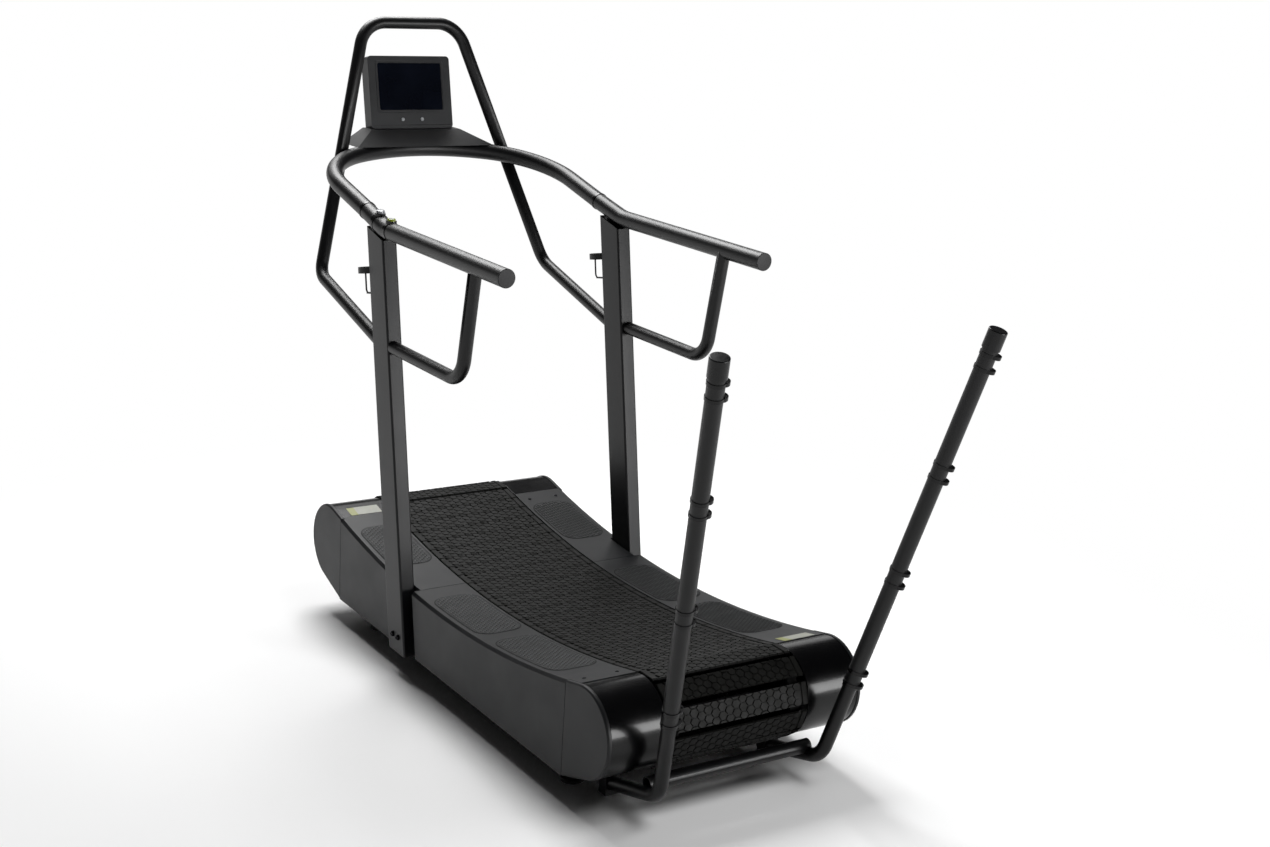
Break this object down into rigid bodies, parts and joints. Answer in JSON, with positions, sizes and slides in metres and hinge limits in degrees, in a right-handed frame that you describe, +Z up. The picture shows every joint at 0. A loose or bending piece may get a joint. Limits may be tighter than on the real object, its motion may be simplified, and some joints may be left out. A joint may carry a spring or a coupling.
{
  "type": "curved treadmill",
  "caption": "Manual treadmill with a concave slat belt, handrails on leaning uprights, a display in a tall hoop, and two rear posts for resistance bands.",
  "frame": {"origin": "on the floor under the middle of the whole object", "axes": "+X to the runner's right, +Y forward to the display, +Z up"},
  "size_m": [0.8608, 2.3862, 1.8269],
  "materials": {
    "frame_paint": "satin dark grey powder coat",
    "upright_paint": "satin grey powder coat",
    "tube_paint": "satin near-black powder coat",
    "cover_plastic": "fine-grained dark grey moulding",
    "gloss_cover": "polished black moulding",
    "pad_rubber": "ribbed grip pad",
    "slat_rubber": "moulded rubber tread over a slat",
    "belt_rubber": "smooth black belt",
    "roller_nylon": "turned grey nylon",
    "bare_steel": "ground steel",
    "screw_steel": "black oxide screws",
    "pulley_alloy": "turned aluminium",
    "label_film": "blank pale film plate",
    "foot_rubber": "moulded foot on a threaded stem",
    "wheel_rubber": "solid wheel",
    "collar_plastic": "black moulding",
    "plug_plastic": "grey end plug",
    "cap_rubber": "dipped black cap",
    "console_plastic": "fine-grained black moulding",
    "screen_glass": "dark screen window, switched off",
    "button_pale": "pale push button",
    "button_yellow": "yellow-green push button",
    "button_grey": "grey push button"
  },
  "bodies": {
    "frame": {"side_frame_left": "frame_paint", "side_frame_right": "frame_paint", "cross_members": "frame_paint", "outriggers": "frame_paint", "roller_rails": "frame_paint", "guide_rollers": "roller_nylon", "shaft_bearings": "bare_steel", "drive_belts": "belt_rubber", "slat_belt": "slat_rubber", "side_cover_rear_left": "cover_plastic", "side_cover_rear_right": "cover_plastic", "side_cover_front_left": "cover_plastic", "side_cover_front_right": "cover_plastic", "end_panels": "cover_plastic", "end_covers": "gloss_cover", "grip_pads": "pad_rubber", "label_plates": "label_film", "cover_screws": "screw_steel", "wheel_brackets": "frame_paint", "upright_left": "upright_paint", "upright_right": "upright_paint", "upright_bolts": "screw_steel", "handrail_left": "tube_paint", "handrail_right": "tube_paint", "front_rail": "tube_paint", "rail_collars": "collar_plastic", "rail_end_plugs": "plug_plastic", "lower_rail_left": "tube_paint", "lower_rail_right": "tube_paint", "front_hoop": "tube_paint", "console_base": "console_plastic", "console_housing": "console_plastic", "console_screen": "screen_glass", "remote_straps": "collar_plastic", "bottle_cage_left": "tube_paint", "bottle_cage_right": "tube_paint", "rear_leg_left": "tube_paint", "rear_leg_right": "tube_paint", "resistance_post_left": "tube_paint", "resistance_post_right": "tube_paint", "band_collars": "collar_plastic", "post_caps": "cap_rubber", "leg_clamps": "frame_paint", "rear_cross_tube": "tube_paint"},
    "front_drum": {"front_shaft": "bare_steel", "front_pulleys": "pulley_alloy"},
    "rear_drum": {"rear_shaft": "bare_steel", "rear_pulleys": "pulley_alloy"},
    "left_transport_wheel": {"transport_wheel_left": "wheel_rubber"},
    "right_transport_wheel": {"transport_wheel_right": "wheel_rubber"},
    "rear_left_foot": {"levelling_foot_rear_left": "foot_rubber"},
    "rear_right_foot": {"levelling_foot_rear_right": "foot_rubber"},
    "front_left_foot": {"levelling_foot_front_left": "foot_rubber"},
    "front_right_foot": {"levelling_foot_front_right": "foot_rubber"},
    "yellow_remote_button": {"remote_button_yellow": "button_yellow"},
    "grey_remote_button": {"remote_button_grey": "button_grey"},
    "left_console_button": {"console_button_left": "button_pale"},
    "right_console_button": {"console_button_right": "button_pale"}
  },
  "joints": [
    {"name": "front_drum_turn", "type": "hinge", "parent": "frame", "child": "front_drum", "pos_m": [0, 0.8156, 0.232], "axis": [1, 0, 0], "continuous": true},
    {"name": "rear_drum_turn", "type": "hinge", "parent": "frame", "child": "rear_drum", "pos_m": [0, -0.7054, 0.232], "axis": [1, 0, 0], "continuous": true},
    {"name": "left_wheel_turn", "type": "hinge", "parent": "frame", "child": "left_transport_wheel", "pos_m": [-0.345, 0.4096, 0.063], "axis": [1, 0, 0], "continuous": true},
    {"name": "right_wheel_turn", "type": "hinge", "parent": "frame", "child": "right_transport_wheel", "pos_m": [0.345, 0.4096, 0.063], "axis": [1, 0, 0], "continuous": true},
    {"name": "rear_left_foot_screw", "type": "slide", "parent": "frame", "child": "rear_left_foot", "axis": [0, 0, -1], "range_m": [0, 0.02]},
    {"name": "rear_right_foot_screw", "type": "slide", "parent": "frame", "child": "rear_right_foot", "axis": [0, 0, -1], "range_m": [0, 0.02]},
    {"name": "front_left_foot_screw", "type": "slide", "parent": "frame", "child": "front_left_foot", "axis": [0, 0, -1], "range_m": [0, 0.02]},
    {"name": "front_right_foot_screw", "type": "slide", "parent": "frame", "child": "front_right_foot", "axis": [0, 0, -1], "range_m": [0, 0.02]},
    {"name": "yellow_button_press", "type": "slide", "parent": "frame", "child": "yellow_remote_button", "axis": [0, 0, -1], "range_m": [0, 0.0015], "stiffness_N_per_m": 300},
    {"name": "grey_button_press", "type": "slide", "parent": "frame", "child": "grey_remote_button", "axis": [0, 0.2284, -0.9736], "range_m": [0, 0.0015], "stiffness_N_per_m": 300},
    {"name": "left_console_press", "type": "slide", "parent": "frame", "child": "left_console_button", "axis": [0, 0.9781, -0.2079], "range_m": [0, 0.0015], "stiffness_N_per_m": 300},
    {"name": "right_console_press", "type": "slide", "parent": "frame", "child": "right_console_button", "axis": [0, 0.9781, -0.2079], "range_m": [0, 0.0015], "stiffness_N_per_m": 300}
  ],
  "couplings": [
    {"joint": "rear_drum_turn", "follows": "front_drum_turn", "ratio": 1}
  ]
}
